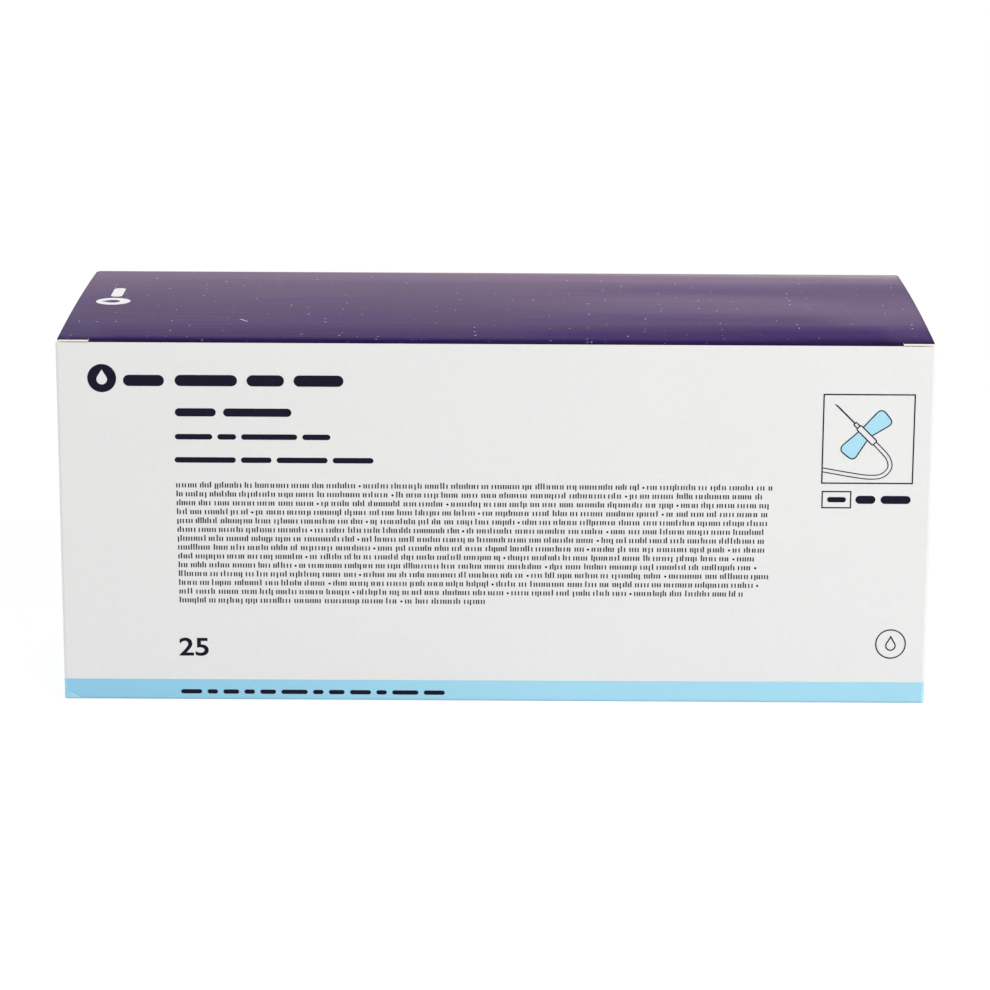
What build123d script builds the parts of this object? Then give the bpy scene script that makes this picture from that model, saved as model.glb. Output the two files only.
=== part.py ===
# Tuck-top folding carton of printed paperboard, closed, standing on its bottom flaps.
# The origin is the middle of the bottom. X runs along the front, Y from the front
# to the back and Z up. All sizes are in millimetres.
from build123d import *
from math import asin, atan2, degrees
import os

os.makedirs("parts", exist_ok=True)

# Board and creases
board = 0.5  # thickness of the board
crease_radius = 0.9  # outside of a pressed crease
tuck_fold_radius = 1.2  # outside of the softer fold between lid and tuck flap

# Closed carton, over the outside
width = 240.0  # along the front
depth = 100.0  # front panel to back panel
panel_height = 102.0  # raw top edge of the front panel
hinge_drop = 0.1  # lid's crease on the back panel, below that raw edge

# Lid
lid_clearance = 0.3  # between the lid and what it closes on
lid_side_inset = 0.5  # lid edge back from each side panel
lid_rise = 2.6  # degrees by which the bowed lid climbs from its crease
lid_back_corner = 3.0  # rounded corners beside the crease
lid_front_corner = 0.8
slit_length = 9.0  # cut beside each end of the tuck fold, which frees an ear
slit_width = 0.5
tuck_depth = 18.0  # straight part of the tuck flap
tuck_corner = 12.0

# Dust flaps, folded in from the side panels under the lid
dust_length = 64.0
dust_setback = 3.0  # front edge back from the front panel, to let the tuck flap in
dust_taper = 6.0  # front edge, drawn in towards the free end
dust_back_relief = 2.0
dust_back_taper = 16.0
dust_corner = 7.0

# Self-locking bottom
seam_gap = 0.4  # between the raw edges of the two large flaps
hook_reach = 24.0  # how far each hook passes over the other flap
hook_start = 4.0  # inner end of each hook, from the middle of the seam
hook_margin = 18.0  # between each hook and the side flap beyond it
hook_corner = 10.0
hook_ramp = 4.0  # run over which a hook climbs by one board
corner_foot = 0.2  # lowest point of the upright creases, beside the ends of the flaps
side_flap_length = 46.0
side_flap_taper = 30.0

# Glued seam at the back left corner
glue_width = 15.0
glue_taper = 4.0  # cut off each end of the glue flap
seam_notch = 0.4  # raw edge of the side panel, short of the back crease

# Heights and lines that follow from the sizes above
hinge_height = panel_height - hinge_drop
side_height = hinge_height - board - lid_clearance
side_foot = board + crease_radius
front_line = -depth / 2 + board + lid_clearance
fold_line = front_line + tuck_fold_radius
lid_front_height = panel_height + lid_clearance + board
lid_width = width - 2 * lid_side_inset
tuck_width = width - 2 * (slit_length + slit_width)
hook_width = width / 2 - side_flap_length - hook_margin - hook_start

# The tuck flap leans in, so that its tip swings up inside the front panel
tuck_lean = degrees(asin((tuck_depth + 3 * tuck_fold_radius) / (2 * (depth - board))))


# Front panel, back panel and side panels, glued into a tube
with BuildPart() as walls:
    with BuildSketch(Plane.XY.offset(corner_foot)):
        RectangleRounded(width, depth, crease_radius)
        RectangleRounded(
            width - 2 * board, depth - 2 * board, crease_radius - board, mode=Mode.SUBTRACT
        )
    extrude(amount=panel_height - corner_foot)

    # Between the corners the front and back panels end where their bottom flaps fold
    with BuildSketch(Plane.XY):
        Rectangle(width - 2 * crease_radius, depth)
    extrude(amount=crease_radius, mode=Mode.SUBTRACT)

    # The side panels end where their dust flaps fold, behind the raw edge of the front
    with BuildSketch(Plane.XY.offset(side_height - crease_radius)):
        Rectangle(width, depth - 2 * board)
    extrude(amount=panel_height, mode=Mode.SUBTRACT)

    # The back panel ends where the lid folds
    with BuildSketch(Plane.XY.offset(hinge_height - crease_radius)):
        with Locations((0, depth / 2)):
            Rectangle(width, 2 * crease_radius)
    extrude(amount=panel_height, mode=Mode.SUBTRACT)

    # The side panels stop one board higher than the front, above the large bottom flaps
    with BuildSketch(Plane.XY):
        Rectangle(width, depth - 2 * crease_radius)
    extrude(amount=side_foot, mode=Mode.SUBTRACT)

    # The left side panel ends in a raw edge, and the back panel where its glue flap folds
    with BuildSketch(Plane.XY):
        with Locations((-width / 2, depth / 2)):
            Rectangle(2 * (board + crease_radius), 2 * (crease_radius + seam_notch))
    extrude(amount=panel_height, mode=Mode.SUBTRACT)

# Glue flap of the back panel, inside the left side panel
with BuildPart() as glue_flap:
    glue_edge = depth / 2 - board - glue_width
    with BuildSketch(Plane.XY):
        with BuildLine():
            glue_bend = JernArc(
                (-width / 2 + board + crease_radius, depth / 2), (-1, 0), crease_radius, 90
            )
            Line(glue_bend @ 1, (-width / 2 + board, glue_edge))
            offset(amount=board, side=Side.LEFT)
        make_face()
    extrude(amount=panel_height)

    with BuildSketch(Plane.YZ):
        with BuildLine():
            Polyline(
                (depth / 2, crease_radius),
                (depth / 2, hinge_height - crease_radius),
                (depth / 2 - crease_radius, hinge_height - crease_radius),
                (depth / 2 - crease_radius, side_height - 2 * board),
                (glue_edge, side_height - 2 * board - glue_taper),
                (glue_edge, side_foot + board + glue_taper),
                (depth / 2 - crease_radius, side_foot + board),
                (depth / 2 - crease_radius, crease_radius),
                close=True,
            )
        make_face()
    extrude(amount=-width, mode=Mode.INTERSECT)


# Dust flap of the left side panel, with the shoulder that stands beside the tuck flap
with BuildPart() as dust_flap:
    with BuildSketch(Plane.XZ):
        with BuildLine() as dust_fold:
            dust_crease = JernArc(
                (-width / 2, side_height - crease_radius), (0, 1), crease_radius, -90
            )
            Line(dust_crease @ 1, (-width / 2 + dust_length, side_height))
            offset(amount=board, side=Side.RIGHT)
        make_face()
    extrude(amount=depth / 2, both=True)

    with BuildSketch(Plane.XY) as dust_outline:
        with BuildLine():
            Polyline(
                (-width / 2, front_line),
                (-width / 2 + slit_length, front_line),
                (-width / 2 + slit_length, front_line + dust_setback),
                (-width / 2 + dust_length, front_line + dust_setback + dust_taper),
                (-width / 2 + dust_length, depth / 2 - board - dust_back_relief - dust_back_taper),
                (-width / 2, depth / 2 - board - dust_back_relief),
                close=True,
            )
        make_face()
        fillet(dust_outline.vertices().group_by(Axis.X)[-1], radius=dust_corner)
    extrude(amount=panel_height, mode=Mode.INTERSECT)


# Large bottom flap of the front panel: it stops at the seam, apart from one hook
with BuildPart() as large_flap:
    with BuildSketch(Plane.YZ):
        with BuildLine():
            foot = JernArc((-depth / 2, crease_radius), (0, -1), crease_radius, 90)
            Line(foot @ 1, (-seam_gap / 2, 0))
            offset(amount=board, side=Side.LEFT)
        make_face()
    extrude(amount=width / 2 - crease_radius, both=True)

    # The hook climbs over the edge of the flap opposite
    with BuildSketch(Plane.YZ.offset(-hook_start)):
        with BuildLine():
            FilletPolyline(
                (-2 * hook_ramp, 0),
                (-hook_ramp, 0),
                (0, board),
                (hook_reach, board),
                radius=hook_ramp,
            )
            offset(amount=board, side=Side.LEFT)
        make_face()
    extrude(amount=-hook_width)
    fillet(
        large_flap.edges().filter_by(Axis.Z).group_by(Axis.Y)[-1],
        radius=hook_corner,
    )


# Bottom flap of the left side panel, which lies on the large flaps
with BuildPart() as side_flap:
    with BuildSketch(Plane.XZ):
        with BuildLine():
            heel = JernArc((-width / 2, side_foot), (0, -1), crease_radius, 90)
            Line(heel @ 1, (-width / 2 + side_flap_length, board))
            offset(amount=board, side=Side.LEFT)
        make_face()
    extrude(amount=depth / 2 - crease_radius, both=True)
    chamfer(
        side_flap.edges().filter_by(Axis.Z).group_by(Axis.X)[-1],
        length=side_flap_taper,
    )


# The carton without its lid is one folded and glued sheet
with BuildPart() as carton_body:
    add(walls.part)
    add(glue_flap.part)
    add(dust_flap.part)
    add(mirror(dust_flap.part, about=Plane.YZ, mode=Mode.PRIVATE))
    add(side_flap.part)
    add(mirror(side_flap.part, about=Plane.YZ, mode=Mode.PRIVATE))
    with PolarLocations(0, 2):
        add(large_flap.part)

carton_body.part.label = "carton_body"
export_step(carton_body.part, "parts/carton_body.step")


# Lid: a bowed panel, folded down behind the front panel between its two ears
with BuildPart() as lid:
    with BuildSketch(Plane.YZ):
        with BuildLine():
            hinge_bend = JernArc(
                (depth / 2, hinge_height - crease_radius), (0, 1), crease_radius, 90 - lid_rise
            )
            bow = TangentArc(
                hinge_bend @ 1, (fold_line, lid_front_height), tangent=hinge_bend % 1
            )
            offset(amount=board, side=Side.LEFT)
        make_face()
    extrude(amount=lid_width / 2, both=True)

    # Ears: the panel runs straight on, over the raw edge of the front panel
    with BuildLine(mode=Mode.PRIVATE) as ear_line:
        PolarLine(bow @ 1, tuck_fold_radius + lid_clearance + board, direction=bow % 1)
    for side in (-1, 1):
        with BuildSketch(Plane.YZ.offset(side * lid_width / 2)):
            with BuildLine():
                add(ear_line.line)
                offset(amount=board, side=Side.LEFT)
            make_face()
        extrude(amount=-side * (slit_length - lid_side_inset))

    # Seen from above, the lid is rounded off beside its crease
    with BuildSketch(Plane.XY) as lid_outline:
        Rectangle(lid_width, depth)
        fillet(lid_outline.vertices().group_by(Axis.Y)[-1], radius=lid_back_corner)
        fillet(lid_outline.vertices().group_by(Axis.Y)[0], radius=lid_front_corner)
    extrude(amount=2 * panel_height, mode=Mode.INTERSECT)

    # Tuck flap, between the two slits
    panel_slope = degrees(atan2(-(bow % 1).Y, -(bow % 1).X))
    with BuildSketch(Plane.YZ):
        with BuildLine():
            tuck_fold = JernArc(
                bow @ 1, bow % 1, tuck_fold_radius, 90 + tuck_lean - panel_slope
            )
            PolarLine(tuck_fold @ 1, tuck_depth, direction=tuck_fold % 1)
            offset(amount=board, side=Side.LEFT)
        make_face()
    extrude(amount=tuck_width / 2, both=True)
    tuck_edge = lid.faces().sort_by(Axis.Z)[0]
    fillet(tuck_edge.edges().filter_by(Axis.X, reverse=True), radius=tuck_corner)

lid.part.label = "lid"
export_step(lid.part, "parts/lid.step")
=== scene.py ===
# Closed folding carton of printed board, on a plain white floor.
# Blender's own values are in metres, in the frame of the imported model. Places and
# sizes on the carton are written in millimetres and turned into metres by MM.
import math
import random

import bpy
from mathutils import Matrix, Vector
from mathutils.bvhtree import BVHTree


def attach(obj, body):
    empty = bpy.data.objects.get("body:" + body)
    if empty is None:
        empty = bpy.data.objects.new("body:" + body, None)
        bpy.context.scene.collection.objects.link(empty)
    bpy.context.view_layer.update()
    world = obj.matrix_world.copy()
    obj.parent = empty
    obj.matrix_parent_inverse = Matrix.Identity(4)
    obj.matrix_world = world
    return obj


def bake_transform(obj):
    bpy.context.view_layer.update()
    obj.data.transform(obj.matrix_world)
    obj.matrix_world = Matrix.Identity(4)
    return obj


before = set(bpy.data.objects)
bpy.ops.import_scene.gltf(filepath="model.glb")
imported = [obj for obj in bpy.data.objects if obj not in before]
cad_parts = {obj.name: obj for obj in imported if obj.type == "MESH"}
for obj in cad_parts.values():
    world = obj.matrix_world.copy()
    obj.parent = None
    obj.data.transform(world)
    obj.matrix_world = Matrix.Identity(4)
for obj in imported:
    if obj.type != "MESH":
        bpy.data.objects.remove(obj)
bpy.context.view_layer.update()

MM = 0.001

# Places on the carton, in millimetres
FRONT_Y = -50.0  # outside of the front panel
BACK_Y = 50.0  # outside of the back panel
FRONT_TOP = 102.0  # raw top edge of the front panel
MIDDLE = (0.0, 0.0, 51.0)  # the printed side of the board looks away from it
BEND_CENTRE = (49.1, 101.0)  # y and z of the middle of the lid's bend
BEND_RADIUS = 0.65  # to the middle of the board
LID_RISE = 2.6  # degrees by which the lid climbs from its crease
LID_EDGE_X = 119.5
SLIT_X = 110.5  # the tuck fold runs between the slits
INK_LIFT = 0.03  # ink stands this far off the board

# Raw edges of the dust flaps, the back panel, the glued seam and the bottom flaps
DUST_EDGE_LOW = 100.4
DUST_EDGE_X = 119.0
DUST_EDGE_Y = (-49.4, 49.3)
BACK_EDGE_LOW = 100.5
SEAM_X = -119.4
SEAM_Y = (48.4, 49.0)
FOOT_EDGE_HIGH = 1.2
FOOT_EDGE_X = 118.8
FOOT_EDGE_Y = 48.9

# Light blue band along the bottom
BAND_TOP = 6.14  # in the middle
BAND_CLIMB = 0.001  # to the right
BAND_FOOT = 0.9  # top of the crease under the panels
BAND_UNDER_X = 115.5  # inner edges of the band, under the bottom
BAND_UNDER_Y = 45.5

# Camera, from the edges of the carton in the photograph
CAMERA_PLACE = (0.003537, -1.005589, 0.313760)
CAMERA_TURN = (75.1087, -0.2434, 0.2781)  # degrees
CAMERA_LENS = 130.715
CAMERA_SENSOR = 36.0

# Light and floor, in metres and watts
AMBIENT = 0.375
LAMPS = (  # name, place, aim, size, power, and whether glossy surfaces mirror it
    ("key", (1.15, -1.25, 1.1), (0.0, 0.0, 0.05), (1.1, 0.9), 26.8, True),
    ("side", (-2.2, 0.3, 0.3), (-0.12, 0.0, 0.05), (0.5, 0.6), 20.0, False),
    ("back", (0.4, 2.4, 0.24), (0.0, 0.05, 0.05), (1.2, 0.4), 16.0, False),
    ("top", (0.0, 0.3, 2.2), (0.0, 0.0, 0.05), (1.8, 1.8), 10.0, True),
)
FLOOR_HALF = (3.0, 3.0)
FLOOR_OPENING = (0.119, 0.049)  # half of the opening under the carton
FLOOR_Z = -0.0001
FLOOR_LIT = (0.8, 0.8, 0.8)  # floor as the carton's surroundings
FLOOR_SEEN = (0.14, 0.14, 0.14)  # floor in the picture, on top of its glow
FLOOR_GLOW = 0.9

# Numbers of the colour sockets on Blender's Mix node
MIX_FIRST = 6
MIX_SECOND = 7
MIX_RESULT = 2


def linear(red, green, blue):
    """Linear colour of a screen colour given from 0 to 255."""
    parts = []
    for value in (red, green, blue):
        share = value / 255
        if share <= 0.04045:
            parts.append(share / 12.92)
        else:
            parts.append(((share + 0.055) / 1.055) ** 2.4)
    return tuple(parts)


COATED_WHITE = linear(234, 234, 233)
BAND_BLUE = linear(169, 221, 241)
BAND_BLUE_DEEP = linear(147, 206, 234)
# Painted highlight on the upright creases and the knocked corner
BAND_HIGHLIGHT = linear(190, 234, 248)
RAW_BOARD = linear(232, 219, 202)
RAW_BOARD_DARK = linear(205, 190, 171)
RAW_EDGE_HIGHLIGHT = linear(250, 245, 237)  # cut edge of the board, painted brighter as a highlight
LID_PURPLE = linear(64, 42, 97)  # towards the right
LID_PURPLE_DEEP = linear(52, 31, 87)  # towards the left
LID_BLUE = linear(44, 24, 100)  # in soft patches
LID_HAZE = linear(255, 204, 215)  # soft pinkish haze of the lid's varnish
CREASE_SHEEN = linear(192, 189, 182)  # painted sheen along the lid's back crease
WORN_LAVENDER = linear(176, 168, 190)
DUST_WHITE = linear(232, 228, 234)
# Painted shade in the lid's fold and along its side edges
FOLD_SHADE = linear(34, 20, 66)
NAVY_INK = linear(25, 19, 40)
TEXT_INK = linear(34, 34, 38)
WING_BLUE = linear(174, 223, 243)
WHITE_INK = linear(250, 248, 250)

# Roughness, as greys so that it can be mixed like a colour
RAW_ROUGHNESS = (0.9, 0.9, 0.9)
COAT_ROUGHNESS = (0.5, 0.5, 0.5)
LID_ROUGHNESS = (0.42, 0.42, 0.42)

# Varnish of the lid
LID_IOR = 1.135  # low, for a weak gloss
LID_SHEEN = (0.13, 0.35, LID_HAZE)  # weight, roughness and tint


# Node trees


class Shader:
    """A material's node tree, written as short expressions."""

    def __init__(self, name):
        self.material = bpy.data.materials.new(name)
        self.material.use_nodes = True
        self.tree = self.material.node_tree
        self.tree.nodes.clear()

    def node(self, kind, **settings):
        made = self.tree.nodes.new(kind)
        for name, value in settings.items():
            setattr(made, name, value)
        return made

    def feed(self, socket, value):
        if isinstance(value, bpy.types.NodeSocket):
            self.tree.links.new(value, socket)
        elif socket.type == "RGBA" and len(value) == 3:
            socket.default_value = (*value, 1.0)
        else:
            socket.default_value = value

    def math(self, operation, *values):
        made = self.node("ShaderNodeMath", operation=operation)
        for socket, value in zip(made.inputs, values):
            self.feed(socket, value)
        return made.outputs[0]

    def vector_math(self, operation, *values):
        made = self.node("ShaderNodeVectorMath", operation=operation)
        for socket, value in zip(made.inputs, values):
            self.feed(socket, value)
        return made.outputs["Value" if operation == "DOT_PRODUCT" else "Vector"]

    def both(self, *masks):
        result = masks[0]
        for mask in masks[1:]:
            result = self.math("MULTIPLY", result, mask)
        return result

    def either(self, *masks):
        result = masks[0]
        for mask in masks[1:]:
            result = self.math("MAXIMUM", result, mask)
        return result

    def neither(self, mask):
        return self.math("SUBTRACT", 1.0, mask)

    def part(self, mask, share):
        """The mask times a plain share."""
        return self.math("MULTIPLY", mask, share)

    def plus(self, base, field, amount):
        """The base plus amount times the field."""
        return self.math("MULTIPLY_ADD", field, amount, base)

    def square(self, value):
        return self.math("MULTIPLY", value, value)

    def size(self, value):
        return self.math("ABSOLUTE", value)

    def over(self, value, limit):
        return self.math("GREATER_THAN", value, limit)

    def under(self, value, limit):
        return self.math("LESS_THAN", value, limit)

    def between(self, value, low, high):
        return self.both(self.over(value, low), self.under(value, high))

    def ramp(self, value, start, end, low=0.0, high=1.0):
        """A smooth climb from low to high as the value goes from start to end."""
        made = self.node("ShaderNodeMapRange", interpolation_type="SMOOTHSTEP")
        for name, number in (
            ("Value", value),
            ("From Min", start),
            ("From Max", end),
            ("To Min", low),
            ("To Max", high),
        ):
            self.feed(made.inputs[name], number)
        return made.outputs["Result"]

    def hill(self, value, centre, half, tall):
        """A rounded hill over the value, as tall and half as wide as said."""
        reach = self.math("DIVIDE", self.math("SUBTRACT", value, centre), half)
        fall = self.math("EXPONENT", self.part(self.square(reach), -1.0))
        return self.math("MULTIPLY", fall, tall)

    def mix(self, share, first, second):
        made = self.node("ShaderNodeMix", data_type="RGBA")
        self.feed(made.inputs["Factor"], share)
        self.feed(made.inputs[MIX_FIRST], first)
        self.feed(made.inputs[MIX_SECOND], second)
        return made.outputs[MIX_RESULT]

    def tint(self, colour, factor):
        """Colour times a plain factor."""
        made = self.node("ShaderNodeVectorMath", operation="SCALE")
        self.feed(made.inputs[0], colour)
        self.feed(made.inputs["Scale"], factor)
        return made.outputs["Vector"]

    def noise(self, place, stretch, detail=2.0, roughness=0.5):
        """Noise from 0 to 1. The larger the stretch, the finer it is along that axis."""
        made = self.node("ShaderNodeTexNoise")
        self.feed(made.inputs["Vector"], self.vector_math("MULTIPLY", place, stretch))
        made.inputs["Scale"].default_value = 1.0
        made.inputs["Detail"].default_value = detail
        made.inputs["Roughness"].default_value = roughness
        return made.outputs["Fac"]

    def wander(self, noise, amount):
        """Noise turned into a factor about 1, up to amount away."""
        return self.math("MULTIPLY_ADD", noise, 2 * amount, 1 - amount)

    def split(self, vector):
        """The vector and its three parts."""
        parts = self.node("ShaderNodeSeparateXYZ")
        self.feed(parts.inputs[0], vector)
        return vector, *parts.outputs

    def place(self):
        """The point of the object in millimetres, and its three parts."""
        coordinates = self.node("ShaderNodeTexCoord")
        return self.split(self.tint(coordinates.outputs["Object"], 1 / MM))

    def facing(self):
        """The way the surface faces, in the object's own frame, and its three parts."""
        geometry = self.node("ShaderNodeNewGeometry")
        turned = self.node(
            "ShaderNodeVectorTransform",
            vector_type="NORMAL",
            convert_from="WORLD",
            convert_to="OBJECT",
        )
        self.feed(turned.inputs[0], geometry.outputs["True Normal"])
        return self.split(self.vector_math("NORMALIZE", turned.outputs[0]))

    def bump(self, height, depth):
        """A bumped normal. The depth of a height of 1 is in millimetres."""
        made = self.node("ShaderNodeBump")
        made.inputs["Strength"].default_value = 1.0
        made.inputs["Distance"].default_value = depth * MM
        self.feed(made.inputs["Height"], height)
        return made.outputs["Normal"]

    def finish(self, colour, roughness, normal, specular, ior=1.45, sheen=None):
        surface = self.node("ShaderNodeBsdfPrincipled")
        self.feed(surface.inputs["Base Color"], colour)
        self.feed(surface.inputs["Roughness"], roughness)
        self.feed(surface.inputs["Normal"], normal)
        surface.inputs["Specular IOR Level"].default_value = specular
        surface.inputs["IOR"].default_value = ior
        if sheen:
            weight, spread, tint = sheen
            surface.inputs["Sheen Weight"].default_value = weight
            surface.inputs["Sheen Roughness"].default_value = spread
            surface.inputs["Sheen Tint"].default_value = (*tint, 1.0)
        output = self.node("ShaderNodeOutputMaterial")
        self.feed(output.inputs["Surface"], surface.outputs[0])
        return self.material


def outside(shader, place, facing):
    """1 where the board shows its printed side, which looks away from the middle."""
    reach = shader.vector_math("SUBTRACT", place, MIDDLE)
    return shader.over(shader.vector_math("DOT_PRODUCT", reach, facing), 0.0)


def raw_board(shader, place):
    """Colour and height of uncoated board: cream, with short fibres."""
    fibre = shader.noise(place, (0.9, 0.9, 3.1), 5.0, 0.65)
    blotch = shader.noise(place, (0.09, 0.09, 0.09), 3.0, 0.5)
    colour = shader.mix(shader.ramp(fibre, 0.3, 0.75), RAW_BOARD_DARK, RAW_BOARD)
    colour = shader.tint(colour, shader.wander(blotch, 0.05))
    return colour, fibre


def with_raw_board(shader, place, coated, highlight_edge, colour, height):
    """Colour and height with raw board wherever the board isn't coated, and a painted highlight on
    the given cut edge.
    """
    raw, fibre = raw_board(shader, place)
    # Painted highlight: the given cut edge is made brighter than the raw board
    raw = shader.mix(shader.part(highlight_edge, 0.85), raw, RAW_EDGE_HIGHLIGHT)
    rough = shader.part(shader.neither(coated), 0.02)
    return shader.mix(coated, raw, colour), shader.plus(height, fibre, rough)


# Materials of the two CAD nodes


def board_edges(shader, x, y, z, turn_y, turn_z):
    """1 on the raw edge of the front panel, and 1 on all raw edges of the body."""
    flat = shader.under(shader.size(turn_z), 0.5)
    upward = shader.over(turn_z, 0.5)
    front = shader.both(shader.over(z, FRONT_TOP - 0.1), upward)
    dust = shader.both(
        shader.over(z, DUST_EDGE_LOW),
        shader.under(shader.size(x), DUST_EDGE_X),
        shader.between(y, *DUST_EDGE_Y),
        flat,
    )
    back = shader.both(
        shader.over(z, BACK_EDGE_LOW), shader.over(y, DUST_EDGE_Y[1]), upward
    )
    seam = shader.both(
        shader.under(x, SEAM_X), shader.between(y, *SEAM_Y), shader.over(turn_y, 0.9)
    )
    foot = shader.both(
        shader.under(z, FOOT_EDGE_HIGH),
        shader.under(shader.size(x), FOOT_EDGE_X),
        shader.under(shader.size(y), FOOT_EDGE_Y),
        flat,
    )
    return front, shader.either(front, dust, back, seam, foot)


def ink_band(shader, place, x, y, z):
    """Where the band lies and its colour. It goes round all panels and a little under."""
    depth = shader.noise(place, (0.02, 0.02, 0.3), 3.0, 0.5)
    blue = shader.mix(shader.ramp(x, -150.0, 40.0), BAND_BLUE_DEEP, BAND_BLUE)
    blue = shader.tint(blue, shader.wander(depth, 0.03))
    inside = shader.both(
        shader.under(shader.plus(z, x, -BAND_CLIMB), BAND_TOP),
        shader.either(
            shader.over(z, BAND_FOOT),
            shader.over(shader.size(x), BAND_UNDER_X),
            shader.over(shader.size(y), BAND_UNDER_Y),
        ),
    )
    return inside, blue


def coat_wear_and_highlights(shader, colour, place, x, y, z, in_band):
    """Colour with the wear of the coat, painted highlights on the upright creases, and the knocked
    corner at the lower left with a painted highlight.
    """
    # Painted highlight on the upright creases, broken up by noise
    crease_noise = shader.noise(place, (1.4, 1.4, 1.4), 4.0, 0.6)
    crack = shader.both(
        shader.ramp(shader.size(x), 118.9, 119.6),
        shader.ramp(shader.size(y), 48.9, 49.6),
        shader.ramp(crease_noise, 0.3, 0.55),
    )
    paper = shader.mix(in_band, COATED_WHITE, BAND_HIGHLIGHT)
    colour = shader.mix(shader.part(crack, 0.6), colour, paper)

    # The foot of the band is rubbed
    rub_noise = shader.noise(place, (0.35, 0.35, 1.6), 4.0, 0.6)
    rub = shader.both(shader.ramp(z, 0.9, 0.1), shader.ramp(rub_noise, 0.5, 0.72))
    colour = shader.mix(shader.part(rub, 0.5), colour, COATED_WHITE)

    # The corner is knocked below a slanting line, and its dent gets a painted highlight, paler
    # further in
    slope = shader.plus(z, shader.math("ADD", x, 118.3), 0.62)
    knock = shader.both(
        shader.ramp(slope, 2.65, 2.05),
        shader.ramp(x, -119.1, -118.6),
        shader.ramp(z, 0.2, 0.5),
        shader.under(y, -49.0),
    )
    pale = shader.both(knock, shader.ramp(x, -118.6, -116.2, 0.3, 0.7))
    return shader.mix(pale, colour, BAND_HIGHLIGHT), knock


def printed_board():
    """Coated white board with the light blue band, raw cream inside and on cut edges."""
    shader = Shader("printed_board_front")
    place, x, y, z = shader.place()
    facing, _, turn_y, turn_z = shader.facing()
    front_edge, cut = board_edges(shader, x, y, z, turn_y, turn_z)
    coated = shader.both(outside(shader, place, facing), shader.neither(cut))

    # White coat with a fine grain and a faint mottle
    grain = shader.noise(place, (0.6, 0.6, 0.85), 2.0, 0.5)
    mottle = shader.noise(place, (0.05, 0.05, 0.05), 2.0, 0.5)
    white = shader.tint(COATED_WHITE, shader.wander(grain, 0.03))
    white = shader.tint(white, shader.wander(mottle, 0.012))
    in_band, blue = ink_band(shader, place, x, y, z)
    colour = shader.mix(in_band, white, blue)
    colour, knock = coat_wear_and_highlights(shader, colour, place, x, y, z, in_band)

    # Slow waves of the panels, the grain and the dent of the knocked corner
    wave = shader.noise(place, (0.013, 0.013, 0.02), 1.0, 0.4)
    height = shader.part(wave, 0.35)
    height = shader.plus(height, grain, 0.006)
    height = shader.plus(height, knock, -0.08)

    # The front panel's raw top edge gets a painted highlight
    colour, height = with_raw_board(shader, place, coated, front_edge, colour, height)
    satin = shader.tint(COAT_ROUGHNESS, shader.wander(grain, 0.12))
    roughness = shader.mix(coated, RAW_ROUGHNESS, satin)
    return shader.finish(colour, roughness, shader.bump(height, 1.0), specular=0.25)


def lid_specks(shader, colour, place, y, turn_z):
    """Colour with white dust and pinholes in the ink, and larger ones in the fold."""
    everywhere = shader.both(shader.under(y, 48.5), shader.over(turn_z, 0.5))
    in_fold = shader.both(everywhere, shader.ramp(y, -44.0, -46.5))
    # Cells in a millimetre, least draw that gives a speck, its radius in cells, zone
    kinds = (
        (0.19, 0.5, (0.008, 0.052), everywhere),
        (0.4, 0.86, (0.04, 0.12), in_fold),
    )
    for scale, least, reach, zone in kinds:
        cells = shader.node("ShaderNodeTexVoronoi", feature="F1", voronoi_dimensions="2D")
        cells.inputs["Scale"].default_value = scale
        shader.feed(cells.inputs["Vector"], place)
        spread = shader.node("ShaderNodeSeparateColor")
        shader.feed(spread.inputs[0], cells.outputs["Color"])
        draw = spread.outputs["Red"]
        speck = shader.both(
            shader.under(cells.outputs["Distance"], shader.ramp(draw, least, 1.0, *reach)),
            shader.over(draw, least),
            shader.ramp(spread.outputs["Green"], 0.1, 1.0, 0.1, 1.0),
            zone,
        )
        colour = shader.mix(speck, colour, DUST_WHITE)
    return colour


def lid_wear_sheen_and_shade(shader, colour, place, x, y, turn_z):
    """Colour with the wear of the edges, painted sheen on the back crease, and painted shade in
    the fold and along the side edges.
    """
    worn_noise = shader.noise(place, (0.8, 1.6, 1.6), 4.0, 0.65)
    at_edge = shader.either(
        shader.part(shader.ramp(shader.size(x), LID_EDGE_X - 0.6, LID_EDGE_X), 0.5),
        shader.part(shader.ramp(y, -48.6, -49.2), 0.5),
    )
    worn = shader.both(at_edge, shader.ramp(worn_noise, 0.56, 0.7))
    colour = shader.mix(shader.part(worn, 0.6), colour, WORN_LAVENDER)

    # Painted sheen along the back crease, in streaks, the wider the further to the right
    sheen_streaks = shader.noise(place, (0.1, 1.1, 1.1), 3.0, 0.65)
    painted_sheen = shader.both(
        shader.ramp(shader.plus(y, x, 0.04), 43.0, 54.5),
        shader.ramp(x, -60.0, 110.0, 0.36, 0.54),
        shader.ramp(sheen_streaks, 0.36, 0.64, 0.6, 1.4),
        shader.ramp(turn_z, 0.2, 0.95),
    )
    colour = shader.mix(painted_sheen, colour, CREASE_SHEEN)

    # Painted shade: the ink is darkened in the fold, more on the right, and along the side edges
    painted_shade = shader.either(
        shader.ramp(y, -46.6, -49.0, 0.0, 0.8),
        shader.both(shader.ramp(y, -40.0, -49.0), shader.ramp(x, 55.0, 95.0, 0.0, 0.75)),
        shader.ramp(shader.size(x), LID_EDGE_X - 0.9, LID_EDGE_X - 0.5, 0.0, 0.6),
    )
    return shader.mix(painted_shade, colour, FOLD_SHADE)


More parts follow.
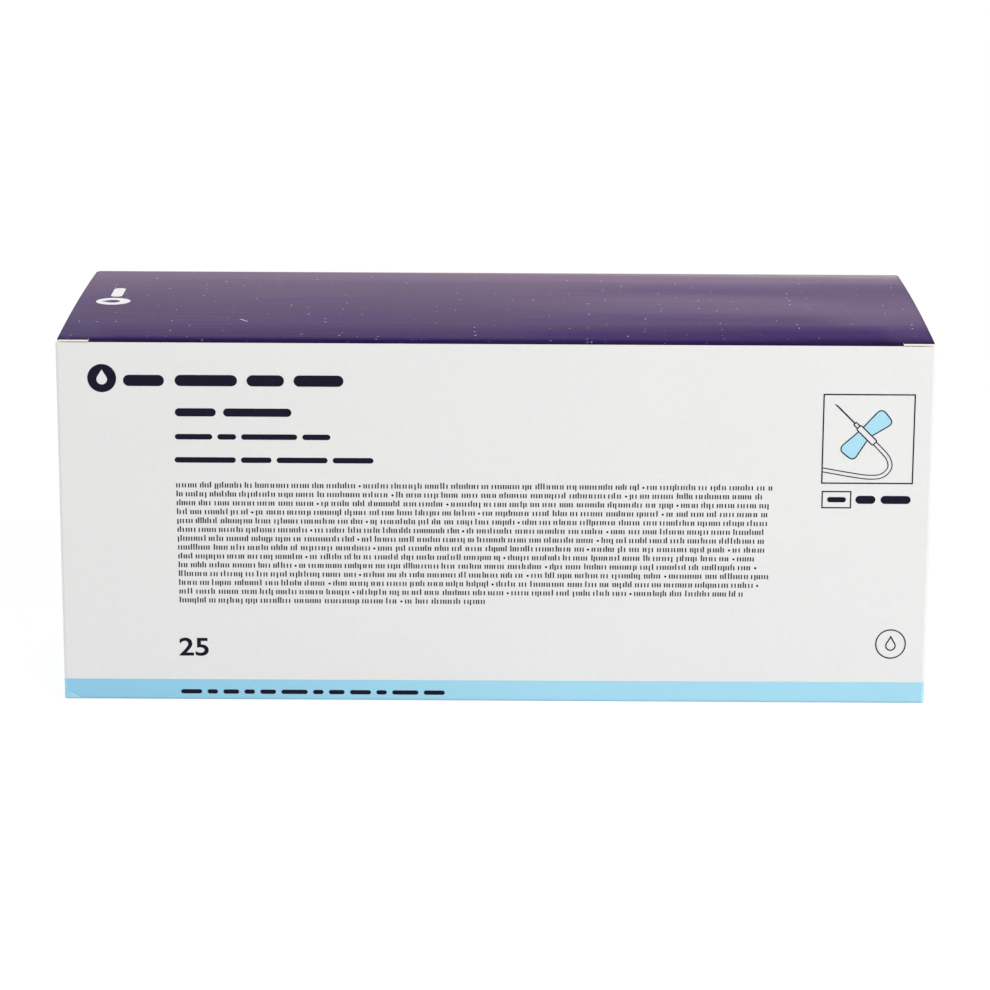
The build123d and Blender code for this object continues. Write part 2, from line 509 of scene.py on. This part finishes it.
def lid_relief(shader, place, x, y):
    """Height of the lid over its plain bow: rolls, a ridge, a hollow and slow waves."""
    # Between the slits the panel rolls down to the fold, more so on the right, and
    # at the back it rolls off to its crease: start, curve and share of each roll
    inward = shader.ramp(shader.size(x), SLIT_X, SLIT_X - 9.0, 0.45, 1.0)
    rolls = (
        (-29.0, -0.0035, shader.both(inward, shader.ramp(x, -125.0, 0.0, 0.65, 1.0))),
        (-27.0, -0.0095, shader.both(inward, shader.ramp(x, -10.0, 90.0))),
        (-45.0, -0.05, inward),
        (30.0, -0.0058, shader.ramp(x, -100.0, 60.0, 0.3, 1.0)),
    )
    height = shader.part(shader.square(y), -0.00042)
    for start, curve, share in rolls:
        side = math.copysign(1.0, start)
        reach = shader.math("MULTIPLY_ADD", y, side, -abs(start))
        reach = shader.math("MAXIMUM", reach, 0.0)
        height = shader.plus(height, shader.part(shader.square(reach), curve), share)

    # A low ridge, and a hollow that widens by the right edge
    at_right = shader.ramp(x, 80.0, 102.0)
    ridge = shader.both(shader.ramp(x, -20.0, 100.0, 0.0, 0.5), shader.neither(at_right))
    height = shader.math("ADD", height, shader.hill(y, -17.0, 10.0, ridge))
    deep = shader.plus(shader.ramp(x, 5.0, 45.0, 0.0, 0.45), at_right, 0.8)
    centre = shader.plus(11.0, at_right, -6.0)
    half = shader.plus(11.0, at_right, 12.0)
    height = shader.math("SUBTRACT", height, shader.hill(y, centre, half, deep))
    wave = shader.noise(place, (0.012, 0.02, 0.02), 1.0, 0.4)
    return shader.plus(height, wave, 0.5)


def purple_board():
    """Satin purple lid with streaks and specks, raw cream inside and on cut edges."""
    shader = Shader("purple_board_lid")
    place, x, y, _ = shader.place()
    facing, turn_x, turn_y, turn_z = shader.facing()
    ear_edge = shader.both(shader.under(y, -49.9), shader.under(turn_y, -0.5))
    cut = shader.either(
        ear_edge,
        shader.over(shader.size(turn_x), 0.25),
        shader.under(turn_z, -0.5),
    )
    coated = shader.both(outside(shader, place, facing), shader.neither(cut))

    # Ink: lighter to the right, bluer in patches, with long streaks and a short grain
    streak = shader.noise(place, (0.03, 0.36, 0.36), 4.0, 0.62)
    grain = shader.noise(place, (0.3, 0.75, 0.75), 3.0, 0.6)
    patch = shader.noise(place, (0.022, 0.07, 0.07), 2.0, 0.5)
    colour = shader.mix(shader.ramp(x, -25.0, 60.0), LID_PURPLE_DEEP, LID_PURPLE)
    colour = shader.mix(shader.ramp(patch, 0.45, 0.7, 0.0, 0.5), colour, LID_BLUE)
    colour = shader.tint(colour, shader.wander(streak, 0.2))
    colour = shader.tint(colour, shader.wander(grain, 0.32))
    colour = lid_specks(shader, colour, place, y, turn_z)
    colour = lid_wear_sheen_and_shade(shader, colour, place, x, y, turn_z)

    height = lid_relief(shader, place, x, y)
    height = shader.plus(height, streak, 0.08)
    height = shader.plus(height, grain, 0.02)

    # The raw edges of the ears get a painted highlight
    colour, height = with_raw_board(shader, place, coated, ear_edge, colour, height)
    gloss = shader.tint(LID_ROUGHNESS, shader.wander(streak, 0.1))
    roughness = shader.mix(coated, RAW_ROUGHNESS, gloss)
    normal = shader.bump(height, 1.0)
    return shader.finish(colour, roughness, normal, specular=0.5, ior=LID_IOR, sheen=LID_SHEEN)


# Materials of the print and the crease


def ink(name, colour, cover=0.04):
    """Printed ink, on the grain of the board. The coat shows through by cover at most."""
    shader = Shader(name)
    place = shader.place()[0]
    grain = shader.noise(place, (0.5, 2.0, 2.4), 3.0, 0.6)
    mottle = shader.noise(place, (2.6, 2.6, 2.6), 4.0, 0.7)
    uneven = shader.part(shader.ramp(mottle, 0.5, 0.85), cover)
    shade = shader.mix(uneven, colour, COATED_WHITE)
    shade = shader.tint(shade, shader.wander(grain, 0.04))
    roughness = shader.part(shader.wander(grain, 0.1), 0.55)
    return shader.finish(shade, roughness, shader.bump(grain, 0.006), specular=0.08)


def crease_coat(name, colour):
    """Coated board that a crease has cracked."""
    shader = Shader(name)
    place = shader.place()[0]
    crack = shader.noise(place, (0.6, 3.0, 3.0), 4.0, 0.65)
    shade = shader.mix(shader.ramp(crack, 0.55, 0.7, 0.0, 0.5), colour, RAW_BOARD)
    roughness = shader.wander(crack, 0.45)
    return shader.finish(shade, roughness, shader.bump(crack, 0.05), specular=0.25)


def crease_raw():
    """Raw board in the crease."""
    shader = Shader("crease_raw_board")
    colour, fibre = raw_board(shader, shader.place()[0])
    roughness = shader.wander(fibre, 0.1)
    return shader.finish(colour, roughness, shader.bump(fibre, 0.03), specular=0.1)


# Flat shapes, as lists of points across and up


def around(across, up, reach, angle):
    """The point at a reach and an angle from a middle."""
    return across + reach * math.cos(angle), up + reach * math.sin(angle)


def rounded_bar(left, right, low, high, radius, steps=5):
    """Outline of a bar with rounded corners."""
    radius = min(radius, (right - left) / 2, (high - low) / 2)
    corners = (
        (right - radius, low + radius, -90),
        (right - radius, high - radius, 0),
        (left + radius, high - radius, 90),
        (left + radius, low + radius, 180),
    )
    points = []
    for across, up, start in corners:
        for step in range(steps + 1):
            angle = math.radians(start + 90 * step / steps)
            points.append(around(across, up, radius, angle))
    return points


def disc(across, up, radius, steps=48):
    """Outline of a disc."""
    angles = [2 * math.pi * step / steps for step in range(steps)]
    return [around(across, up, radius, angle) for angle in angles]


def drop(across, up, radius, tall, steps=48):
    """Outline of a drop: a round foot whose sides run up to a point, tall above its middle."""
    lean = math.acos(radius / tall)
    points = []
    for step in range(steps):
        angle = 2 * math.pi * step / steps
        off = abs((angle - math.pi / 2 + math.pi) % (2 * math.pi) - math.pi)
        reach = radius if off >= lean else radius / math.cos(lean - off)
        points.append(around(across, up, reach, angle))
    return points


def rounded(corners, radii, steps=6):
    """Outline through the corners, with a rounding for each."""
    count = len(corners)
    points = []
    for k in range(count):
        corner = Vector(corners[k])
        before = Vector(corners[k - 1]) - corner
        after = Vector(corners[(k + 1) % count]) - corner
        start = corner + before.normalized() * min(radii[k], before.length / 2)
        end = corner + after.normalized() * min(radii[k], after.length / 2)
        for step in range(steps + 1):
            share = step / steps
            near = start.lerp(corner, share)
            far = corner.lerp(end, share)
            points.append(tuple(near.lerp(far, share)))
    return points


def neighbours(points, k, closed=False):
    """The points before and after a point, which at an open end is the point itself."""
    count = len(points)
    if closed:
        return points[k - 1], points[(k + 1) % count]
    return points[max(k - 1, 0)], points[min(k + 1, count - 1)]


def smooth_line(points, steps):
    """Points on a smooth line through the given ones."""
    last = len(points) - 1
    result = []
    for span in range(last):
        a, b, c, d = (points[min(max(span + k, 0), last)] for k in (-1, 0, 1, 2))
        for step in range(steps):
            t = step / steps
            result.append(
                tuple(
                    0.5 * (
                        2 * b[k]
                        + (c[k] - a[k]) * t
                        + (2 * a[k] - 5 * b[k] + 4 * c[k] - d[k]) * t * t
                        + (3 * b[k] - a[k] - 3 * c[k] + d[k]) * t * t * t
                    )
                    for k in (0, 1)
                )
            )
    result.append(points[-1])
    return result


def ribbon(points, width, closed=False):
    """Quads of a line of even width along the points."""
    tiny = 1e-9
    least_mitre = 0.35
    count = len(points)
    sides = []
    for k in range(count):
        before, after = neighbours(points, k, closed)
        here = Vector(points[k])
        first = here - Vector(before)
        second = Vector(after) - here
        if first.length < tiny:
            first = second
        if second.length < tiny:
            second = first
        first.normalize()
        second.normalize()
        along = (first + second).normalized()
        across = Vector((-along.y, along.x))
        stretch = 1 / max(least_mitre, abs(across.dot(Vector((-first.y, first.x)))))
        offset = across * width / 2 * stretch
        sides.append((here + offset, here - offset))
    quads = []
    for k in range(count if closed else count - 1):
        a, b = sides[k], sides[(k + 1) % count]
        quads.append([tuple(a[1]), tuple(b[1]), tuple(b[0]), tuple(a[0])])
    return quads


def ring_faces(rim, hole):
    """Quads between two closed outlines of as many points."""
    count = len(rim)
    faces = []
    for k in range(count):
        after = (k + 1) % count
        faces.append([rim[k], rim[after], hole[after], hole[k]])
    return faces


def moved(points, across, up, turn):
    """Points turned by degrees and moved."""
    c = math.cos(math.radians(turn))
    s = math.sin(math.radians(turn))
    return [(across + c * u - s * v, up + s * u + c * v) for u, v in points]


def beside(points, distance):
    """The points moved sideways by a distance."""
    result = []
    for k, here in enumerate(points):
        before, after = neighbours(points, k)
        along = (Vector(after) - Vector(before)).normalized()
        result.append((here[0] - along.y * distance, here[1] + along.x * distance))
    return result


def anticlockwise(outline):
    """The outline, turned round where it runs clockwise."""
    pairs = zip(outline, outline[1:] + outline[:1])
    area = sum(a[0] * b[1] - b[0] * a[1] for a, b in pairs)
    return outline[::-1] if area < 0 else outline


# Pieces


def piece(name, body, vertices, faces, materials, indices=None):
    """A mesh object that rides on a body. The vertices are in millimetres."""
    mesh = bpy.data.meshes.new(name)
    mesh.from_pydata([tuple(c * MM for c in v) for v in vertices], [], faces)
    for material in materials:
        mesh.materials.append(material)
    if indices:
        mesh.polygons.foreach_set("material_index", indices)
    mesh.update()
    made = bpy.data.objects.new(name, mesh)
    bpy.context.scene.collection.objects.link(made)
    if body:
        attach(made, body)
    return made


def flat_faces(outlines, lay):
    """Vertices and a face for each outline, where lay makes a vertex of a flat point."""
    vertices = []
    faces = []
    for outline in outlines:
        start = len(vertices)
        vertices.extend(lay(u, v) for u, v in anticlockwise(outline))
        faces.append(list(range(start, len(vertices))))
    return vertices, faces


def front_print(name, outlines, material, lift=INK_LIFT):
    """Flat ink on the front panel. Each outline is a list of x and z."""
    vertices, faces = flat_faces(outlines, lambda u, v: (u, FRONT_Y - lift, v))
    return piece(name, "carton", vertices, faces, [material])


def lid_height(surface, x, y):
    """Height of the top of the lid over a point, in millimetres."""
    well_above = 0.2
    start = Vector((x * MM, y * MM, well_above))
    return surface.ray_cast(start, Vector((0, 0, -1)))[0].z / MM


def lid_print(name, outlines, material, surface):
    """Flat ink on top of the lid. Each outline is a list of x and y."""
    vertices, faces = flat_faces(
        outlines, lambda u, v: (u, v, lid_height(surface, u, v) + INK_LIFT)
    )
    return piece(name, "lid", vertices, faces, [material])


def word_bars(left, right, low, high, words, gap):
    """Plain bars in place of words. words gives their shares of the line."""
    room = right - left - gap * (len(words) - 1)
    share = room / sum(words)
    outlines = []
    start = left
    for word in words:
        end = start + word * share
        outlines.append(rounded_bar(start, end, low, high, (high - low) / 2))
        start = end + gap
    return outlines


def tick_line(picker, left, right, foot):
    """A line of fine print as groups of upright ticks, with a dot here and there."""
    tall = 1.2
    stroke = 0.36
    pitch = 0.74
    ascender = tall * 1.38
    descender = -tall * 0.3
    dot_radius = 0.33
    dot_room = 1.3
    outlines = []
    at = left
    words = picker.randint(5, 9)
    while at < right - pitch:
        if words == 0:
            outlines.append(disc(at + 0.3, foot + tall * 0.5, dot_radius, 8))
            at += dot_room
            words = picker.randint(6, 12)
            continue
        words -= 1
        for _ in range(picker.choice((3, 4, 5, 6, 7, 8, 9, 11, 13))):
            if at + stroke > right:
                break
            kind = picker.random()
            top = ascender if kind < 0.12 else tall
            low = descender if 0.12 < kind < 0.16 else 0
            outlines.append(
                [
                    (at, foot + low),
                    (at + stroke, foot + low),
                    (at + stroke, foot + top),
                    (at, foot + top),
                ]
            )
            at += pitch * picker.choice((0.86, 0.94, 1.0, 1.22))
        at += pitch * 0.8
    return outlines


def headline_print(material):
    """Plain bars at the places and in the sizes of the large print."""
    outlines = [
        *word_bars(-101.7, -90.5, 89.9, 93.05, (1,), 0),
        *word_bars(-87.6, -41.5, 89.95, 93.1, (5, 3, 4), 2.6),
        *word_bars(-87.7, -55.8, 81.45, 83.75, (3, 5), 2.0),
        *word_bars(-87.8, -45.2, 74.95, 76.5, (4, 2, 6, 3), 1.4),
        *word_bars(-88.0, -33.4, 68.4, 69.95, (6, 3, 5, 4), 1.4),
    ]
    front_print("print_display_bars", outlines, material)


def fine_print(material):
    """Fourteen lines of fine print, each with its own end at the right."""
    picker = random.Random(41)
    left = (-87.7, 0.36)  # of the first line, and how far the last one is off
    foot = (61.33, -32.98)
    ends = (
        76.9, 73.7, 75.65, 76.25, 75.2, 74.45, 74.25,
        74.6, 72.15, 73.05, 76.15, 73.15, 69.05, -2.4,
    )
    outlines = []
    for row, end in enumerate(ends):
        share = row / (len(ends) - 1)
        row_left = left[0] + left[1] * share
        row_foot = foot[0] + foot[1] * share
        outlines.extend(tick_line(picker, row_left, end, row_foot))
    front_print("print_fine_lines", outlines, material)


def band_print(material):
    """A line of plain bars on the band."""
    words = (4, 2, 3, 2, 3, 5, 2, 3, 4, 2, 5, 4)
    outlines = word_bars(-87.4, -13.8, 1.85, 3.1, words, 1.5)
    front_print("print_band_bars", outlines, material)


def quantity_print(material):
    """The plain number on the front, in upright figures."""
    across = (-87.7, -79.5)
    up = (12.85, 18.15)
    curve = bpy.data.curves.new("quantity", "FONT")
    curve.body = "25"
    curve.size = 0.01
    curve.offset = 0.00017  # makes the figures bolder
    curve.resolution_u = 6
    carrier = bpy.data.objects.new("quantity", curve)
    bpy.context.scene.collection.objects.link(carrier)
    bpy.context.view_layer.update()
    mesh = bpy.data.meshes.new_from_object(carrier)
    low = [min(v.co[k] for v in mesh.vertices) for k in (0, 1)]
    high = [max(v.co[k] for v in mesh.vertices) for k in (0, 1)]
    vertices = []
    for vertex in mesh.vertices:
        u = across[0] + (vertex.co.x - low[0]) / (high[0] - low[0]) * (across[1] - across[0])
        v = up[0] + (vertex.co.y - low[1]) / (high[1] - low[1]) * (up[1] - up[0])
        vertices.append((u, FRONT_Y - INK_LIFT, v))
    faces = [list(p.vertices) for p in mesh.polygons]
    bpy.data.objects.remove(carrier)
    bpy.data.curves.remove(curve)
    bpy.data.meshes.remove(mesh)
    piece("print_quantity", "carton", vertices, faces, [material])


def mark_print(material):
    """A plain disc, with a drop left out, beside the display bars."""
    rim = disc(-107.48, 92.07, 3.95)
    hole = drop(-107.48, 91.75, 1.45, 2.75)
    front_print("print_disc", ring_faces(rim, hole), material)


def drawing_print(line_material, wing_material):
    """A winged needle with its tube, drawn in a square frame."""
    frame_line = 0.36
    line = 0.32
    hose_half = 0.55
    square = [(89.72, 63.55), (114.58, 63.55), (114.58, 88.55), (89.72, 88.55)]
    place = (101.4, 77.4, 135.0)  # middle of the hub, and the turn of the needle

    wing = rounded([(-1.5, 0.85), (-3.1, 7.6), (2.3, 8.3), (1.9, 0.85)], (0.2, 1.7, 2.1, 0.2))
    wings = [moved(wing, *place), moved([(u, -v) for u, v in wing], *place)]
    hub = moved(rounded_bar(-3.6, 2.8, -0.85, 0.85, 0.4), *place)
    collar = moved(rounded_bar(2.8, 4.3, -0.5, 0.5, 0.2), *place)
    shaft = moved([(4.3, -0.2), (11.4, -0.2), (12.3, 0.2), (4.3, 0.2)], *place)
    tail = moved([(-3.6, 0), (-5.2, 0)], *place)
    bow = [(107.7, 70.7), (108.2, 67.9), (106.1, 65.7), (102.4, 65.3), (97.2, 66.0), (89.87, 67.3)]
    hose = smooth_line([*tail, *bow], 8)

    front_print("print_wings", wings, wing_material)
    lines = ribbon(square, frame_line, True)
    for outline in wings:
        lines.extend(ribbon(outline, line, True))
    for side in (hose_half, -hose_half):
        lines.extend(ribbon(beside(hose, side), line * 0.85))
    lines.extend(ribbon(hub, line, True))
    lines.extend(ribbon(collar, line, True))
    lines.append(shaft)
    front_print("print_drawing_lines", lines, line_material, INK_LIFT * 2)


def small_marks(material):
    """The boxed bar with its word bars, and the ring with a drop lower down."""
    line = 0.36
    box = [(89.95, 56.55), (97.8, 56.55), (97.8, 61.15), (89.95, 61.15)]
    outlines = ribbon(box, line, True)
    outlines += word_bars(91.3, 96.5, 58.1, 59.6, (1,), 0)
    outlines += word_bars(99.1, 114.3, 57.7, 60.0, (2, 3), 1.4)
    outlines += ribbon(disc(110.1, 17.4, 4.1), line, True)
    outlines += ribbon(drop(110.1, 16.9, 1.3, 2.6), line, True)
    front_print("print_small_marks", outlines, material)


def lid_mark(material, surface):
    """A disc with a drop left out and a bar, in white on the left of the lid."""
    centre = (-109.3, -1.2)
    rim = disc(*centre, 4.9)
    hole = moved(drop(0, 0, 1.9, 3.5), *centre, 90.0)
    # The drop is turned a quarter, so its last quarter of points comes first, to
    # start where the rim starts
    quarter = len(hole) // 4
    hole = hole[-quarter:] + hole[:-quarter]
    outlines = ring_faces(rim, hole)
    outlines.append(rounded_bar(-110.9, -107.6, 5.6, 18.8, 1.65))
    lid_print("lid_print_mark", outlines, material, surface)


def crease_lines():
    """Outer and inner line of the crease's section, from the back panel up, as y and z."""
    half = 0.22  # of the strip's thickness
    panel_middle = BACK_Y - 0.25  # of the back panel's board
    turns = 14
    outer = []
    inner = []
    for z in (100.2, 100.5, 100.8):
        outer.append((panel_middle + half, z))
        inner.append((panel_middle - half, z))
    for step in range(turns + 1):
        angle = math.radians((90.0 - LID_RISE) * step / turns)
        outer.append(around(*BEND_CENTRE, BEND_RADIUS + half, angle))
        inner.append(around(*BEND_CENTRE, BEND_RADIUS - half, angle))
    rise = math.radians(LID_RISE)
    for line in (outer, inner):
        start = line[-1]
        for run in (0.5, 1.0, 1.6):
            line.append((start[0] - run * math.cos(rise), start[1] + run * math.sin(rise)))
    return outer, inner


def hinge_crease(white_coat, purple_coat, raw):
    """The creased board between back panel and lid, inside both while it is closed.

    Its printed side lies inwards.
    """
    reach = 116.3  # to either end
    spans = 24
    white_steps = 7  # of the inner line, the rest is purple
    materials = [white_coat, purple_coat, raw]
    white_index, purple_index, raw_index = range(len(materials))
    outer, inner = crease_lines()
    loop = outer + inner[::-1]
    count = len(loop)
    stations = [-reach + 2 * reach * k / spans for k in range(spans + 1)]
    vertices = [(x, y, z) for x in stations for y, z in loop]
    faces = []
    indices = []
    for station in range(spans):
        for k in range(count):
            a = station * count + k
            b = station * count + (k + 1) % count
            faces.append([a, a + count, b + count, b])
            step = count - 2 - k  # along the inner line, from the back panel up
            if 0 <= step < len(inner) - 1:
                indices.append(white_index if step < white_steps else purple_index)
            else:
                indices.append(raw_index)
    faces.append(list(range(count)))
    faces.append([spans * count + k for k in reversed(range(count))])
    indices.extend((raw_index, raw_index))
    made = piece("hinge_crease", None, vertices, faces, materials, indices)
    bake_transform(made)


def lid_fibre(material, surface):
    """A loose paper fibre that lies on the lid."""
    track = smooth_line([(-71.5, -24.5), (-70.7, -25.4), (-69.9, -26.6), (-69.0, -27.7)], 5)
    radius = 0.13
    flatness = 0.6
    ring = 6
    count = len(track)
    vertices = []
    for k, (u, v) in enumerate(track):
        low = lid_height(surface, u, v)
        before, after = neighbours(track, k)
        along = (Vector(after) - Vector(before)).normalized()
        taper = radius * (0.35 + 0.65 * math.sin(math.pi * (k + 0.6) / (count + 0.2)))
        for step in range(ring):
            angle = 2 * math.pi * step / ring
            side = math.cos(angle) * taper
            up = taper * (1 + math.sin(angle)) * flatness
            vertices.append((u - along.y * side, v + along.x * side, low + up))
    faces = []
    for k in range(count - 1):
        for step in range(ring):
            a = k * ring + step
            b = k * ring + (step + 1) % ring
            faces.append([a, b, b + ring, a + ring])
    faces.append(list(range(ring)))
    faces.append([(count - 1) * ring + step for step in reversed(range(ring))])
    piece("lid_fibre", "lid", vertices, faces, [material])


# Stage


def seen_by_camera(tree):
    """1 for camera, glossy and transmission rays."""
    path = tree.nodes.new("ShaderNodeLightPath")
    result = path.outputs["Is Camera Ray"]
    for name in ("Is Glossy Ray", "Is Transmission Ray"):
        larger = tree.nodes.new("ShaderNodeMath")
        larger.operation = "MAXIMUM"
        tree.links.new(result, larger.inputs[0])
        tree.links.new(path.outputs[name], larger.inputs[1])
        result = larger.outputs[0]
    return result


def white_world():
    """White where it is seen, and soft light from all round."""
    world = bpy.data.worlds.new("white")
    world.use_nodes = True
    tree = world.node_tree
    tree.nodes.clear()
    background = tree.nodes.new("ShaderNodeBackground")
    background.inputs["Color"].default_value = (1, 1, 1, 1)
    strength = tree.nodes.new("ShaderNodeMapRange")
    strength.inputs["To Min"].default_value = AMBIENT
    strength.inputs["To Max"].default_value = 1.0
    tree.links.new(seen_by_camera(tree), strength.inputs["Value"])
    tree.links.new(strength.outputs["Result"], background.inputs["Strength"])
    output = tree.nodes.new("ShaderNodeOutputWorld")
    tree.links.new(background.outputs[0], output.inputs["Surface"])
    bpy.context.scene.world = world


def floor_material():
    """White with a soft shadow from above, and clear from below."""
    shader = Shader("floor_white")
    seen = seen_by_camera(shader.tree)
    diffuse = shader.node("ShaderNodeBsdfDiffuse")
    shader.feed(diffuse.inputs["Color"], shader.mix(seen, FLOOR_LIT, FLOOR_SEEN))
    glow = shader.node("ShaderNodeEmission")
    shader.feed(glow.inputs["Strength"], shader.part(seen, FLOOR_GLOW))
    total = shader.node("ShaderNodeAddShader")
    shader.feed(total.inputs[0], diffuse.outputs[0])
    shader.feed(total.inputs[1], glow.outputs[0])
    geometry = shader.node("ShaderNodeNewGeometry")
    clear = shader.node("ShaderNodeBsdfTransparent")
    sides = shader.node("ShaderNodeMixShader")
    shader.feed(sides.inputs[0], geometry.outputs["Backfacing"])
    shader.feed(sides.inputs[1], total.outputs[0])
    shader.feed(sides.inputs[2], clear.outputs[0])
    output = shader.node("ShaderNodeOutputMaterial")
    shader.feed(output.inputs["Surface"], sides.outputs[0])
    return shader.material


def white_floor():
    """A pale floor, open where the carton stands so that its bottom can be seen."""
    corners = ((-1, -1), (1, -1), (1, 1), (-1, 1))
    vertices = []
    for half_x, half_y in (FLOOR_HALF, FLOOR_OPENING):
        vertices.extend((x * half_x, y * half_y, FLOOR_Z) for x, y in corners)
    faces = [(k, (k + 1) % 4, (k + 1) % 4 + 4, k + 4) for k in range(4)]
    mesh = bpy.data.meshes.new("floor")
    mesh.from_pydata(vertices, [], faces)
    mesh.materials.append(floor_material())
    floor = bpy.data.objects.new("floor", mesh)
    bpy.context.scene.collection.objects.link(floor)


def lamp(name, place, aim, size, power, mirrored):
    """A soft rectangular lamp."""
    data = bpy.data.lights.new(name, "AREA")
    data.shape = "RECTANGLE"
    data.size, data.size_y = size
    data.energy = power
    made = bpy.data.objects.new(name, data)
    made.location = place
    made.rotation_mode = "QUATERNION"
    made.rotation_quaternion = (Vector(aim) - Vector(place)).to_track_quat("-Z", "Y")
    made.visible_glossy = mirrored
    bpy.context.scene.collection.objects.link(made)


def photo_camera():
    """The camera of the photograph."""
    data = bpy.data.cameras.new("camera")
    data.lens = CAMERA_LENS
    data.sensor_width = CAMERA_SENSOR
    data.clip_start = 0.01
    data.clip_end = 50.0
    camera = bpy.data.objects.new("camera", data)
    camera.location = CAMERA_PLACE
    camera.rotation_euler = [math.radians(angle) for angle in CAMERA_TURN]
    bpy.context.scene.collection.objects.link(camera)
    bpy.context.scene.camera = camera


# Scene

bpy.context.scene.view_settings.view_transform = "Standard"
photo_camera()
white_world()
white_floor()
for values in LAMPS:
    lamp(*values)

body_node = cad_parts["carton_body"]
lid_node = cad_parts["lid"]
body_node.material_slots[0].material = printed_board()
lid_node.material_slots[0].material = purple_board()

lid_surface = BVHTree.FromPolygons(
    [v.co.copy() for v in lid_node.data.vertices],
    [list(p.vertices) for p in lid_node.data.polygons],
)

navy = ink("ink_navy", NAVY_INK)
text_grey = ink("ink_text", TEXT_INK)
wing_blue = ink("ink_wing_blue", WING_BLUE, cover=0.15)
white = ink("ink_white", WHITE_INK, cover=0.0)

headline_print(navy)
fine_print(text_grey)
band_print(navy)
quantity_print(navy)
mark_print(navy)
drawing_print(navy, wing_blue)
small_marks(navy)
lid_mark(white, lid_surface)
lid_fibre(white, lid_surface)
hinge_crease(
    crease_coat("crease_white", COATED_WHITE),
    crease_coat("crease_purple", LID_PURPLE),
    crease_raw(),
)
